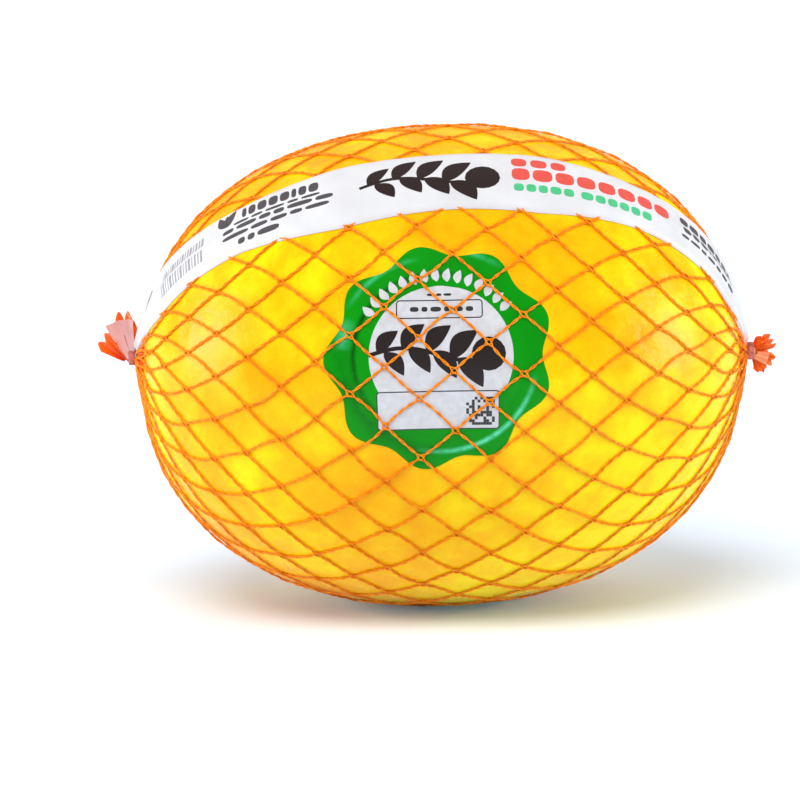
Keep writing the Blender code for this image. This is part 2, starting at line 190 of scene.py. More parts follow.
def fruit_points(direction, offset):
    """Points of the fruit's surface in these directions, raised by offset, and the normals."""
    shape = np.shape(direction)
    local = np.asarray(direction, float).reshape(-1, 3) @ TILT
    offset = np.broadcast_to(np.asarray(offset, float), shape[:-1]).reshape(-1, 1)
    across = np.hypot(local[:, 1], local[:, 2])
    size = (np.abs(local[:, 0] / HALF_LENGTH) ** PROFILE_POWER
            + (across / HALF_HEIGHT) ** PROFILE_POWER)
    local = local * size[:, None] ** (-1 / PROFILE_POWER)
    across = np.maximum(np.hypot(local[:, 1], local[:, 2]), 1e-9)
    heading = unit(local)
    offset = offset + sum(height * MM * np.sin(heading @ np.array(wave) + phase)
                          for height, wave, phase in SWELLS)[:, None]
    slope_x = np.abs(local[:, 0] / HALF_LENGTH) ** (PROFILE_POWER - 1) / HALF_LENGTH
    slope_r = (across / HALF_HEIGHT) ** (PROFILE_POWER - 1) / HALF_HEIGHT
    normal = unit(np.stack((np.copysign(slope_x, local[:, 0]), slope_r * local[:, 1] / across,
                            slope_r * local[:, 2] / across), axis=1))
    points = (local + normal * offset) @ TILT.T
    points[:, 2] = np.maximum(points[:, 2] + CENTRE_HEIGHT, FLAT_LEVEL - offset[:, 0])
    return points.reshape(shape), (normal @ TILT.T).reshape(shape)


def bag_points(arc, angle, offset):
    """Points of the net's surface, whose poles are lifted a little. Angle 0 is +Y, 90 is up."""
    arc, angle = np.broadcast_arrays(np.asarray(arc, float), np.asarray(angle, float))
    x, r = x_at(arc), radius_at(arc)
    lift = np.where(x < 0, LEFT_LIFT, -RIGHT_LIFT) * (x / HALF_LENGTH) ** 2
    up = r * np.sin(angle)
    direction = np.stack((x * np.cos(lift) + up * np.sin(lift), r * np.cos(angle),
                          up * np.cos(lift) - x * np.sin(lift)), axis=-1)
    return fruit_points(direction, offset)


def next_ring(arc, side):
    """Arc length of the next ring of knots, one bar length away."""
    x0, r0 = x_at(arc), radius_at(arc) + BAR_HEIGHT
    near, far = arc, arc + side * BAR_LENGTH
    for _ in range(50):
        guess = (near + far) / 2
        x1, r1 = x_at(guess), radius_at(guess) + BAR_HEIGHT
        around_squared = r0 ** 2 + r1 ** 2 - 2 * r0 * r1 * cos(pi / CELLS_AROUND)
        if sqrt((x1 - x0) ** 2 + around_squared) < BAR_LENGTH:
            near = guess
        else:
            far = guess
    return near


def knot_rings():
    """Numbers and arc lengths of the rings of knots, and last the strands' ends at the necks."""
    rings = {0: float(np.interp(FIRST_RING_X, ARC_X, ARC))}
    for side in (-1, 1):
        ring = 0
        while radius_at(rings[ring]) > GATHER_RADIUS:
            rings[ring + side] = next_ring(rings[ring], side)
            ring += side
        rings[ring + side] = float(arc_at_radius(NECK_RADIUS, side))
    numbers = sorted(rings)
    return np.array(numbers, float), np.array([rings[n] for n in numbers])


RING_NUMBERS, RING_ARCS = knot_rings()


def end_frame(end, way):
    """Centres on the axis beyond one end of the fruit, and the three directions there."""
    side, pitch = end["side"], end["pitch"]
    pole, _ = bag_points(side * ARC_END, 0.0, 0.0)
    way = np.asarray(way, float)[..., None]
    bent = np.array((side * cos(pitch), 0.0, sin(pitch)))
    straight = np.array((side, 0.0, 0.0))
    centre = (pole + straight * np.minimum(way, TAIL_START)
              + bent * np.maximum(way - TAIL_START, 0.0))
    sideways = np.array((0.0, 1.0, 0.0))
    return centre, bent, sideways, np.array((-side * sin(pitch), 0.0, cos(pitch)))


# Mesh helpers

def new_object(name, mesh, *finishes):
    new = bpy.data.objects.new(name, mesh)
    bpy.context.scene.collection.objects.link(new)
    for finish in finishes:
        mesh.materials.append(finish)
    mesh.shade_smooth()
    mesh.set_sharp_from_angle(angle=radians(50))
    return new


def new_piece(name, mesh, node_name, slot, *finishes):
    """A visible piece, which stands for a CAD node or for a part of it."""
    piece = new_object(name, mesh, *finishes)
    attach(piece, BODY)
    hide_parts(node_name)
    return piece


def grid_faces(rows, columns, closed_columns=False):
    """Quads between the points of a grid, row by row."""
    last = columns if closed_columns else columns - 1
    row, column = np.meshgrid(np.arange(rows - 1), np.arange(last), indexing="ij")
    right = (column + 1) % columns
    quads = np.stack((row * columns + column, row * columns + right,
                      (row + 1) * columns + right, (row + 1) * columns + column), axis=-1)
    return quads.reshape(-1, 4)


def tube_faces(rows, columns):
    """Quads round a closed tube, and a cap at each end."""
    faces = grid_faces(rows, columns, closed_columns=True).tolist()
    return faces + [list(range(columns)), list(range((rows - 1) * columns, rows * columns))]


def ring_directions(angles):
    """Directions round the fruit's axis. Angle 0 is +Y, 90 is up."""
    return np.stack((np.zeros_like(angles), np.cos(angles), np.sin(angles)), axis=1)


def grid_normals(points):
    return unit(np.cross(np.gradient(points, axis=0), np.gradient(points, axis=1)))


class Builder:
    """Gathers grids, tubes and thin sheets into one mesh."""

    def __init__(self):
        self.vertices, self.faces, self.finishes, self.places = [], [], [], []
        self.count = 0

    def add(self, vertices, faces, finish=0, place=None):
        vertices = np.asarray(vertices, float).reshape(-1, 3)
        self.vertices.append(vertices)
        self.faces += [[int(v) + self.count for v in face] for face in faces]
        self.finishes += [finish] * len(faces)
        self.places.append(np.zeros((len(vertices), 2)) if place is None else place.reshape(-1, 2))
        self.count += len(vertices)

    def add_sheet(self, points, thickness, finish=0, place=None):
        """A grid of points as a thin closed sheet."""
        rows, columns = points.shape[:2]
        half = grid_normals(points) * (thickness / 2)
        size = rows * columns
        quads = grid_faces(rows, columns)
        edge = np.concatenate((np.arange(columns), np.arange(1, rows) * columns + columns - 1,
                               size - 2 - np.arange(columns - 1),
                               np.arange(rows - 2, 0, -1) * columns))
        after = np.roll(edge, -1)
        rim = np.stack((edge, edge + size, after + size, after), axis=1)
        faces = np.concatenate((quads, quads[:, ::-1] + size, rim))
        both = None if place is None else np.concatenate((place, place))
        self.add(np.concatenate((points + half, points - half)), faces, finish, both)

    def add_tubes(self, paths, sides, radius, centre):
        """Closed tubes along paths of shape (tubes, points, 3)."""
        points = paths.shape[1]
        along = unit(np.gradient(paths, axis=1))
        across = unit(np.cross(along, paths - centre))
        raised = np.cross(across, along)
        turn = (np.arange(sides) * 2 * pi / sides)[:, None]
        ring = across[:, :, None] * np.cos(turn) + raised[:, :, None] * np.sin(turn)
        faces = tube_faces(points, sides)
        for tube in paths[:, :, None] + ring * radius:
            self.add(tube, faces)

    def mesh(self, name):
        mesh = bpy.data.meshes.new(name)
        mesh.from_pydata(np.concatenate(self.vertices).tolist(), [], self.faces)
        mesh.polygons.foreach_set("material_index", self.finishes)
        corners = np.zeros(len(mesh.loops), int)
        mesh.loops.foreach_get("vertex_index", corners)
        places = np.concatenate(self.places)[corners]
        mesh.uv_layers.new(name="place").data.foreach_set("uv", places.ravel())
        bm = bmesh.new()
        bm.from_mesh(mesh)
        bmesh.ops.recalc_face_normals(bm, faces=bm.faces)
        bm.to_mesh(mesh)
        bm.free()
        return mesh


# Material helpers

def new_material(name):
    material = bpy.data.materials.new(name)
    material.use_nodes = True
    return material, material.node_tree, material.node_tree.nodes["Principled BSDF"]


def feed(owner, inputs):
    """Sets a node's sockets: by a link where the value is a socket, and otherwise directly."""
    for name, value in inputs.items():
        if isinstance(value, bpy.types.NodeSocket):
            owner.id_data.links.new(value, owner.inputs[name])
        else:
            owner.inputs[name].default_value = value


def node(tree, kind, inputs, **settings):
    new = tree.nodes.new(kind)
    for key, value in settings.items():
        setattr(new, key, value)
    feed(new, inputs)
    return new


def noise(tree, place, scale, detail=2.0, roughness=0.5):
    inputs = {"Vector": place, "Scale": scale, "Detail": detail, "Roughness": roughness}
    return node(tree, "ShaderNodeTexNoise", inputs).outputs["Fac"]


def ramp(tree, value, stops):
    """A colour ramp, from a list of (place, colour)."""
    new = node(tree, "ShaderNodeValToRGB", {"Fac": value})
    points = new.color_ramp.elements
    for place, _ in stops[1:-1]:
        points.new(place)
    for point, (place, colour) in zip(points, stops):
        point.position = place
        point.color = (*colour, 1.0)
    return new.outputs["Color"]


def maths(tree, operation, *values, clamp=False):
    inputs = dict(enumerate(values))
    new = node(tree, "ShaderNodeMath", inputs, operation=operation, use_clamp=clamp)
    return new.outputs["Value"]


def distance_from(tree, value, other):
    return maths(tree, "ABSOLUTE", maths(tree, "SUBTRACT", value, other))


def mix_colour(tree, share, first, second):
    """A mix of two colours, each a tuple or a socket."""
    first, second = ((*c, 1.0) if isinstance(c, tuple) else c for c in (first, second))
    inputs = {"Factor": share, 6: first, 7: second}
    return node(tree, "ShaderNodeMix", inputs, data_type="RGBA").outputs[2]


def finish_shader(tree, shader, colour, roughness, specular=0.5, bumps=None, soft=None):
    """Sets the shader's sockets. The bumps are a height with its strength and distance, and
    soft is the subsurface weight, radius and scale."""
    feed(shader, {"Base Color": colour, "Roughness": roughness, "Specular IOR Level": specular})
    if bumps:
        inputs = dict(zip(("Height", "Strength", "Distance"), bumps))
        feed(shader, {"Normal": node(tree, "ShaderNodeBump", inputs).outputs["Normal"]})
    if soft:
        names = "Subsurface Weight", "Subsurface Radius", "Subsurface Scale"
        feed(shader, dict(zip(names, soft)))


def object_coordinates(tree):
    return node(tree, "ShaderNodeTexCoord", {}).outputs["Object"]


def axis_parts(tree, vector):
    return node(tree, "ShaderNodeSeparateXYZ", {"Vector": vector}).outputs


def place_parts(tree):
    """The place along and across a piece, as its builder gave it."""
    parts = axis_parts(tree, node(tree, "ShaderNodeTexCoord", {}).outputs["UV"])
    return parts["X"], parts["Y"]


# Materials

def skin_material():
    """Smooth waxy yellow skin: cloudy golden patches, fine pores and a soft gloss."""
    material, tree, shader = new_material("melon_skin_fine")
    place = object_coordinates(tree)
    clouds = noise(tree, place, 16.0, detail=2.0)
    patches = noise(tree, place, 80.0, detail=4.0, roughness=0.6)
    specks = noise(tree, place, 700.0, detail=2.0)
    pores = noise(tree, place, 2200.0, detail=1.0)
    share = maths(tree, "MULTIPLY_ADD", patches, 0.50, maths(tree, "MULTIPLY", clouds, 0.50))
    # Deeper golden towards the left and the top, and paler at both ends as painted light from the
    # lamps at the sides
    axes = axis_parts(tree, place)
    share = maths(tree, "MULTIPLY_ADD", axes["X"], 0.6, share)
    share = maths(tree, "MULTIPLY_ADD", maths(tree, "POWER", axes["X"], 4.0), 2600.0, share)
    share = maths(tree, "MULTIPLY_ADD", axes["Z"], -0.5, maths(tree, "ADD", share, 0.035))
    colour = ramp(tree, share, [(0.38, (0.94, 0.36, 0.0008)), (0.50, (0.96, 0.48, 0.001)),
                                (0.64, (0.98, 0.72, 0.002))])
    colour = mix_colour(tree, maths(tree, "MULTIPLY", specks, 0.12), colour, (0.98, 0.66, 0.002))
    rough = maths(tree, "MULTIPLY_ADD", patches, 0.60, -0.04)
    fine = maths(tree, "MULTIPLY_ADD", specks, 0.6, pores)
    uneven = maths(tree, "MULTIPLY_ADD", patches, 25.0, fine)
    finish_shader(tree, shader, colour, rough, 0.14, (uneven, 0.12, 0.0003),
                  (0.15, (1.0, 0.45, 0.05), 0.004))
    return material


def filament_material():
    """Orange polyethylene filaments, a little see-through."""
    material, tree, shader = new_material("net_filament")
    streaks = noise(tree, object_coordinates(tree), 700.0, detail=1.0)
    colour = ramp(tree, streaks, [(0.3, (0.78, 0.185, 0.006)), (0.7, (0.95, 0.32, 0.016))])
    finish_shader(tree, shader, colour, 0.5, 0.1, (streaks, 0.3, 0.0002),
                  (0.15, (1.0, 0.4, 0.1), 0.0006))
    return material


def gather_material(name, deep, pale):
    """Bunched or flattened knitwork: deep orange at the neck, paler where it opens."""
    material, tree, shader = new_material(name)
    place = object_coordinates(tree)
    along, _ = place_parts(tree)
    clouds = noise(tree, place, 420.0, detail=3.0)
    knit = node(tree, "ShaderNodeTexVoronoi", {"Vector": place, "Scale": 1100.0})
    opened = maths(tree, "SUBTRACT", along, 0.17)
    share = maths(tree, "MULTIPLY_ADD", clouds, 0.35, opened, clamp=True)
    colour = ramp(tree, share, [(0.0, deep), (0.9, pale)])
    finish_shader(tree, shader, colour, 0.4, 0.5, (knit.outputs["Distance"], 0.5, 0.0003),
                  (0.3, (1.0, 0.35, 0.08), 0.0015))
    return material


def film_material():
    """Thin white film with a soft sheen and faint wrinkles, pink where it lies in the tails."""
    material, tree, shader = new_material("white_film")
    along, across = place_parts(tree)
    wrinkles = noise(tree, object_coordinates(tree), 90.0, detail=4.0)
    white = ramp(tree, wrinkles, [(0.3, (0.66, 0.65, 0.67)), (0.7, (0.75, 0.74, 0.755))])
    pink = ramp(tree, wrinkles, [(0.3, (0.68, 0.30, 0.29)), (0.7, (0.86, 0.48, 0.46))])
    peach = ramp(tree, wrinkles, [(0.3, (0.86, 0.25, 0.10)), (0.7, (0.95, 0.42, 0.22))])
    pink = mix_colour(tree, maths(tree, "GREATER_THAN", along, 0.5), pink, peach)
    # Painted shade of a fold in the left tail, a dark line along the film
    off_painted_fold_shade = distance_from(tree, across, 0.45)
    fold = maths(tree, "MULTIPLY_ADD", off_painted_fold_shade, -25.0, 1.0, clamp=True)
    fold = maths(tree, "MULTIPLY", fold, maths(tree, "COMPARE", along, 0.031, 0.013))
    pink = mix_colour(tree, fold, pink, (0.16, 0.05, 0.05))
    tail = maths(tree, "MULTIPLY_ADD", distance_from(tree, along, 0.5), 30.0, -13.2, clamp=True)
    colour = mix_colour(tree, tail, white, pink)
    finish_shader(tree, shader, colour, 0.36, 0.5, (wrinkles, 0.15, 0.0004),
                  (0.1, (1.0, 0.8, 0.7), 0.001))
    return material


def arc_mask(tree, reach, turn, radius, width, middle, spread):
    """1 on an arc round the sticker's middle, fading to 0 at its edges. Angles in degrees."""
    away = distance_from(tree, reach, radius)
    near = maths(tree, "MULTIPLY_ADD", away, -1 / width, 1.0, clamp=True)
    facing = maths(tree, "COSINE", maths(tree, "SUBTRACT", turn, radians(middle)))
    least = cos(radians(spread))
    along = maths(tree, "MULTIPLY_ADD", facing, 1 / (1 - least), -least / (1 - least), clamp=True)
    return maths(tree, "MULTIPLY", near, along)


# Arcs on the sticker: colour, strength, and for arc_mask the radius, width, middle and spread
STICKER_ARCS = (
    ((0.001, 0.045, 0.002), 0.95, (0.256, 0.013, 150, 105)),
    ((0.001, 0.10, 0.002), 0.60, (0.290, 0.035, 215, 60)),
    ((0.14, 0.80, 0.46), 0.90, (0.292, 0.011, -58, 48)),
    ((0.06, 0.55, 0.22), 0.70, (0.310, 0.012, 126, 26)),
    ((0.06, 0.55, 0.22), 0.60, (0.335, 0.013, 70, 16)),
    ((0.08, 0.62, 0.30), 0.70, (0.290, 0.030, 166, 10)),
)


def sticker_material():
    """Glossy green paper, printed like pressed wax: a dark ring and a few light streaks."""
    material, tree, shader = new_material("green_sticker")
    across, up = place_parts(tree)
    across, up = maths(tree, "SUBTRACT", across, 0.5), maths(tree, "SUBTRACT", up, 0.5)
    squared = maths(tree, "MULTIPLY", across, across)
    squared = maths(tree, "ADD", squared, maths(tree, "MULTIPLY", up, up))
    reach, turn = maths(tree, "SQRT", squared), maths(tree, "ARCTAN2", up, across)
    clouds = noise(tree, object_coordinates(tree), 60.0, detail=3.0)
    grain = noise(tree, object_coordinates(tree), 420.0)
    broken = maths(tree, "MULTIPLY_ADD", grain, 2.2, -0.2, clamp=True)
    colour = mix_colour(tree, clouds, (0.002, 0.31, 0.004), (0.001, 0.20, 0.003))
    for tint, strength, arc in STICKER_ARCS:
        share = maths(tree, "MULTIPLY", broken, strength)
        share = maths(tree, "MULTIPLY", arc_mask(tree, reach, turn, *arc), share)
        colour = mix_colour(tree, share, colour, tint)
    high, low = (1.0, 1.0, 1.0), (0.0, 0.0, 0.0)
    groove = ramp(tree, reach, [(0.235, high), (0.252, low), (0.272, high)])
    finish_shader(tree, shader, colour, 0.3, 0.15, (groove, 0.4, 0.0004))
    return material


def print_material(name, colour, roughness=0.4):
    """Printed ink, with a slight unevenness."""
    material, tree, shader = new_material(name)
    cloud = noise(tree, object_coordinates(tree), 500.0)
    darker = tuple(0.86 * c for c in colour)
    finish_shader(tree, shader, ramp(tree, cloud, [(0.3, darker), (0.7, colour)]), roughness)
    return material


def clip_material():
    """Dull crimped aluminium with fine scratches, and a pink reflection of the film beside it
    painted into its colour.
    """
    material, tree, shader = new_material("crimped_clip")
    cloud = noise(tree, object_coordinates(tree), 900.0, detail=4.0)
    colour = ramp(tree, cloud, [(0.3, (0.44, 0.09, 0.07)), (0.7, (0.78, 0.25, 0.20))])
    rough = maths(tree, "MULTIPLY_ADD", cloud, 0.3, 0.25)
    finish_shader(tree, shader, colour, rough, 0.5, (cloud, 0.3, 0.0002))
    feed(shader, {"Metallic": 0.35})
    return material


# The fruit

def make_fruit():
    """The fruit: a fine sphere drawn out to its surface, with a scar at each end."""
    bm = bmesh.new()
    bmesh.ops.create_uvsphere(bm, u_segments=FRUIT_SEGMENTS, v_segments=FRUIT_RINGS, radius=1.0,
                              matrix=Matrix.Rotation(pi / 2, 4, "Y"))
    directions = np.array([v.co for v in bm.verts])
    across = np.hypot(directions[:, 1], directions[:, 2]) * HALF_LENGTH
    scar = SCAR_DEPTH * np.exp(-(across / SCAR_RADIUS) ** 2)
    points, _ = fruit_points(directions, SKIN_HEIGHT - scar)
    for vert, point in zip(bm.verts, points):
        vert.co = point
    mesh = bpy.data.meshes.new("fruit")
    bm.to_mesh(mesh)
    bm.free()
    new_piece("fruit", mesh, "melon", "melon_skin", skin_material())


# The net

def neck_path(angle, end):
    """The last of a filament, from the cone's top through the clip."""
    centre, *_ = end_frame(end, np.array((2.3, 3.0, 4.0, 4.9, 5.7)) * MM)
    return centre + np.array((0.0, cos(angle), sin(angle))) * (NECK_RADIUS * 0.92)


def strand_paths(family):
    """Paths of the filaments of one family, two to a strand, twisted but for the knots."""
    count = int(RING_NUMBERS[-1] - RING_NUMBERS[0]) * POINTS_A_BAR + 1
    rings = np.linspace(RING_NUMBERS[0], RING_NUMBERS[-1], count)
    arcs = np.interp(rings, RING_NUMBERS, RING_ARCS)
    bunched = share_between(radius_at(arcs), GATHER_RADIUS, NECK_RADIUS)
    at_knot = np.exp(-((rings - np.round(rings)) / KNOT_LENGTH) ** 2) * (1 - bunched)
    gap = TWIST_RADIUS + (KNOT_HALF_GAP - TWIST_RADIUS) * at_knot
    crossing = (CROSSING_LIFT if family > 0 else 0.0) * at_knot
    chance = np.random.default_rng(12 + family)
    slack = chance.normal(0.0, 0.5 * MOST_BOW, (CELLS_AROUND, len(RING_NUMBERS)))
    slack = np.clip(slack, -MOST_BOW, MOST_BOW)
    bar, way = np.floor(rings - RING_NUMBERS[0]).astype(int), rings - np.floor(rings)
    paths = []
    for strand in range(CELLS_AROUND):
        angle = FIRST_KNOT_ANGLE + pi / CELLS_AROUND * (2 * strand + family * rings)
        angle = angle + NET_TWIST * x_at(arcs) / (2 * HALF_LENGTH)
        layer = (strand * 7 + (3 if family > 0 else 0)) % PILE_LAYERS / (PILE_LAYERS - 1)
        piled = bunched * (PILE_FOOT + (PILE_TOP - PILE_FOOT) * (0.35 + 0.65 * layer))
        middle, normal = bag_points(arcs, angle, 0.0)
        across = unit(np.cross(normal, np.gradient(middle, axis=0)))
        bow = slack[strand, bar] * np.sin(pi * way) * (1 - bunched)
        middle = middle + across * bow[:, None]
        for half in (0, 1):
            turn = pi * (HALF_TURNS_A_BAR * rings + half)
            rise = 0.6 * TWIST_RADIUS * (1 - at_knot) * (1 + np.sin(turn))
            height = SKIN_HEIGHT + FILAMENT_GAP + FILAMENT_RADIUS + crossing + piled + rise
            path = middle + across * (gap * np.cos(turn))[:, None] + normal * height[:, None]
            path[:, 2] = np.maximum(path[:, 2], FILAMENT_RADIUS + FLOOR_GAP)
            paths.append(np.concatenate((neck_path(angle[0], ENDS["left"])[::-1], path,
                                         neck_path(angle[-1], ENDS["right"]))))
    return np.array(paths)


def make_net():
    finish = filament_material()
    middle = np.array((0.0, 0.0, CENTRE_HEIGHT))
    for name, family in (("net_rising", 1), ("net_falling", -1)):
        builder = Builder()
        builder.add_tubes(strand_paths(family), FILAMENT_SIDES, FILAMENT_RADIUS, middle)
        new_piece(name, builder.mesh(name), "net", "net_knit", finish)


def make_gather(name, end):
    """The pleated cone of bunched knitwork under the strands, and the neck in the clip."""
    angles = np.arange(CONE_COLUMNS) * 2 * pi / CONE_COLUMNS
    pleat = 0.5 + 0.5 * np.cos(PLEATS * angles)
    rows = []
    for rise in np.linspace(0.0, 1.0, CONE_ROWS):
        radius = CONE_RADIUS + (CONE_TOP_RADIUS - CONE_RADIUS) * rise
        radius = radius * (1 + 0.25 * (1 - rise) * (pleat - 0.5))
        fold = 0.25 * pleat * sin(pi * min(rise + 0.1, 1.0))
        height = (0.15 + 1.50 * rise ** 0.6 + fold) * MM
        rows.append(bag_points(arc_at_radius(radius, end["side"]), angles, height)[0])
    for way, radius in NECK_PROFILE:
        centre, *_ = end_frame(end, way * MM)
        rows.append(centre + ring_directions(angles) * (radius + 0.1 * pleat[:, None]) * MM)
    points = np.array(rows)
    along = np.linspace(0.75, 0.0, len(rows))[:, None, None]
    place = np.broadcast_to(along, (*points.shape[:2], 2))
    builder = Builder()
    builder.add(points, tube_faces(len(rows), CONE_COLUMNS), place=place)
    finish = gather_material(name, (0.80, 0.045, 0.001), (0.92, 0.16, 0.003))
    new_piece(name, builder.mesh(name), "net", "net_knit", finish)


# Petals of each ruffle, in degrees and mm: how far each turns from the tail's axis in the
# upright plane, how far it leans to the camera's side, its twist, length and width at the tip,
# and the points that it ends in
PETALS = {
    "left": ((-25, 6, 10, 10.2, 6.6, 2), (24, -8, -10, 14.2, 5.6, 2),
             (40, 4, 15, 11.8, 3.0, 1),
             (10, -38, 20, 11.5, 6.5, 3), (-16, -40, -15, 10.5, 6.0, 3),
             (38, -45, 10, 10.0, 5.5, 3),
             (-8, 26, 60, 8.5, 3.4, 2)),
    "right": ((36, 6, 8, 6.8, 5.4, 3), (-8, 3, 0, 7.2, 2.4, 1), (-54, 10, 10, 6.4, 5.4, 3),
              (-78, -8, 20, 7.0, 3.4, 2), (82, 0, 0, 4.4, 2.2, 1), (24, -36, 15, 6.8, 4.8, 3),
              (-30, -40, -15, 6.8, 4.8, 3), (0, -66, 10, 6.0, 4.4, 2), (48, 42, 30, 5.2, 3.4, 2)),
}
FILM_TAILS = {"left": (15, 20, 0, 12.8, 8.6, 0), "right": (-12, 13, 0, 4.9, 4.0, 0)}


def petal_points(end, seed, tilt, toward, twist, length, width, teeth, base=0.8):
    """One flattened lobe of the ruffle, which leaves the neck, widens and ends in points."""
    chance = np.random.default_rng(seed)
    s = np.linspace(0.0, 1.0, PETAL_ROWS)
    t = np.linspace(-1.0, 1.0, PETAL_COLUMNS)
    tooth = 1 - np.abs(teeth * (t + 1) % 2 - 1) ** 1.6 if teeth else 1 - 0.12 * t ** 2
    centre, bent, sideways, up = end_frame(end, TAIL_START)
    tilt, toward = radians(tilt) * (0.6 + 0.4 * s), radians(toward) * (0.6 + 0.4 * s)
    ahead = np.outer(np.cos(tilt) * np.cos(toward), bent)
    ahead = ahead + np.outer(np.sin(tilt) * np.cos(toward), up)
    ahead = ahead - np.outer(np.sin(toward), sideways)
    flat = np.outer(np.cos(tilt), up) - np.outer(np.sin(tilt), bent)
    twist = radians(twist)
    wide = flat * cos(twist) + np.cross(ahead, flat) * sin(twist)
    way = np.cumsum((ahead[1:] + ahead[:-1]) / 2, axis=0)
    way = np.concatenate(([np.zeros(3)], way)) / (len(s) - 1)
    reach = length * MM * (0.78 + 0.22 * tooth)
    half_width = (0.9 + (width / 2 - 0.9) * s ** 0.7) * MM
    phase = chance.uniform(0, 6)
    ripple = 0.32 * MM * s[:, None] * np.cos(pi * max(teeth, 2.4) * t + phase)
    ripple = ripple - 0.25 * half_width[:, None] * t ** 2
    offset = unit(ahead[-1] - bent * (ahead[-1] @ bent)) * base * MM
    points = (centre - bent * 0.5 * MM + offset + way[:, None] * reach[None, :, None]
              + wide[:, None] * (half_width[:, None] * t)[..., None]
              + np.cross(ahead, wide)[:, None] * ripple[..., None])
    return points, np.broadcast_to(s[:, None, None], (PETAL_ROWS, PETAL_COLUMNS, 2))


def make_tail(name, end, petals):
    builder = Builder()
    for seed, petal in enumerate(petals):
        points, place = petal_points(end, seed, *petal)
        builder.add_sheet(points, PETAL_THICKNESS, place=place)
    finish = gather_material(name, (0.80, 0.050, 0.001), (0.90, 0.15, 0.005))
    new_piece(name, builder.mesh(name), "net", "net_knit", finish)


# The label band

def film_grid():
    """Points of the band from one neck to the other, and the arc lengths of its stations."""
    reach = float(arc_at_radius(FILM_END_RADIUS, 1))
    arcs = np.linspace(-reach, reach, FILM_STATIONS)[:, None]
    across = np.linspace(-0.5, 0.5, FILM_COLUMNS)[None, :]
    x, r = x_at(arcs), radius_at(arcs)
    narrowing = share_between(np.abs(x), FILM_STRAIGHT, FILM_SHOULDER)
    width = FILM_WIDTH + (FILM_SHOULDER_WIDTH - FILM_WIDTH) * narrowing
    width = np.minimum(width, FILM_NECK_WIDTH + FILM_TAPER * r)
    # The lower half is drawn in near the middle, and its edge waves a little
    wave = 0.25 * np.sin(arcs / (9.0 * MM))
    pinch = wave - FILM_PINCH * np.exp(-((x - PINCH_X) / PINCH_LENGTH) ** 2)
    width = width + pinch * MM * (across > 0)
    rise = share_between(r, GATHER_RADIUS, FILM_END_RADIUS)
    # Pleats where the band draws in, and slight sags between the strands
    drawn = share_between(r, 70.0 * MM, 20.0 * MM)
    drawn = drawn * share_between(np.abs(x), 35.0 * MM, 80.0 * MM)
    pleats = 0.75 * MM * drawn * np.maximum(np.cos(pi * 3.4 * (across - 0.08)), -0.2)
    along = arcs / (3.2 * MM)
    sag = 0.06 * MM * np.sin(along + 9 * across) * np.sin(along - 9 * across)
    height = FILM_HEIGHT + 1.0 * MM * rise + pleats + sag - 0.6 * MM * across ** 2
    # The outermost columns bend down to the skin
    pressed = share_between(np.abs(across), 0.46, 0.5) * (1 - 0.4 * rise)
    height = height + (SKIN_HEIGHT + FILM_EDGE_GAP - height) * pressed
    angles = FILM_ANGLE + FILM_DRIFT * x / FILM_SHOULDER + width / (r + FILM_HEIGHT) * across
    points, _ = bag_points(np.broadcast_to(arcs, angles.shape), angles, height)
    return points, arcs[:, 0]


def neck_rows(end, tail):
    """Rows of the band through the clip and out into its tail, which opens like a fan."""
    across = np.linspace(-0.5, 0.5, FILM_COLUMNS)
    rows = []
    for way in np.array((2.0, 2.75, 3.7, 4.7)) * MM:
        centre, *_ = end_frame(end, way)
        angles = FILM_ANGLE + 0.3 * way / TAIL_START + FILM_NECK_WIDTH / (2.0 * MM) * across
        rows.append(centre + ring_directions(angles) * FILM_IN_CLIP_RADIUS)
    fan, _ = petal_points(end, 3, *tail, base=1.7)
    fan = fan[3:, ::-1]
    rows = np.array(rows)
    return np.concatenate((rows, smooth_join(rows, fan, 4), fan))


def smooth_join(first, second, steps=6):
    """Rows between the last row of one grid and the first of the next, on a soft curve."""
    start, end = first[-1], second[0]
    size = np.linalg.norm(end - start, axis=1, keepdims=True)
    leave, arrive = unit(first[-1] - first[-2]) * size, unit(second[1] - second[0]) * size
    t = (np.arange(1, steps) / steps)[:, None, None]
    return ((2 * t ** 3 - 3 * t ** 2 + 1) * start + (t ** 3 - 2 * t ** 2 + t) * leave
            + (3 * t ** 2 - 2 * t ** 3) * end + (t ** 3 - t ** 2) * arrive)


def make_band():
    on_net, arcs = film_grid()
    left, right = (neck_rows(ENDS[name], FILM_TAILS[name]) for name in ("left", "right"))
    left = left[::-1]
    points = np.concatenate((left, smooth_join(left, on_net), on_net,
                             smooth_join(on_net, right), right))
    columns = points.shape[1]
    steps = np.linalg.norm(np.diff(points[:, columns // 2], axis=0), axis=1)
    share = np.concatenate(([0.0], np.cumsum(steps))) / steps.sum()
    across = np.linspace(0, 1, columns)[None, :]
    place = np.stack(np.broadcast_arrays(share[:, None], across), axis=-1)
    builder = Builder()
    builder.add_sheet(points, FILM_THICKNESS, place=place)
    band = new_piece("film_band", builder.mesh("film_band"), "label_band", "film", film_material())
    return on_net, arcs


# Printed marks, as thin shapes in millimetres on a flat plan that is then laid on the surface

def leaf(x, y, length, width, turn, steps=12):
    """A pointed leaf that starts at a place and grows in a direction, in degrees."""
    s = np.linspace(0.0, 1.0, steps)[:, None]
    t = np.linspace(-1.0, 1.0, 5)[None, :]
    half = width / 2 * (0.03 + 0.97 * np.abs(np.sin(pi * s ** 0.85)) ** 0.9)
    along = length * s + 0 * t
    aside = half * t + 0.10 * length * np.sin(pi * s)
    c, d = cos(radians(turn)), sin(radians(turn))
    return np.stack((x + along * c - aside * d, y + along * d + aside * c), axis=-1)


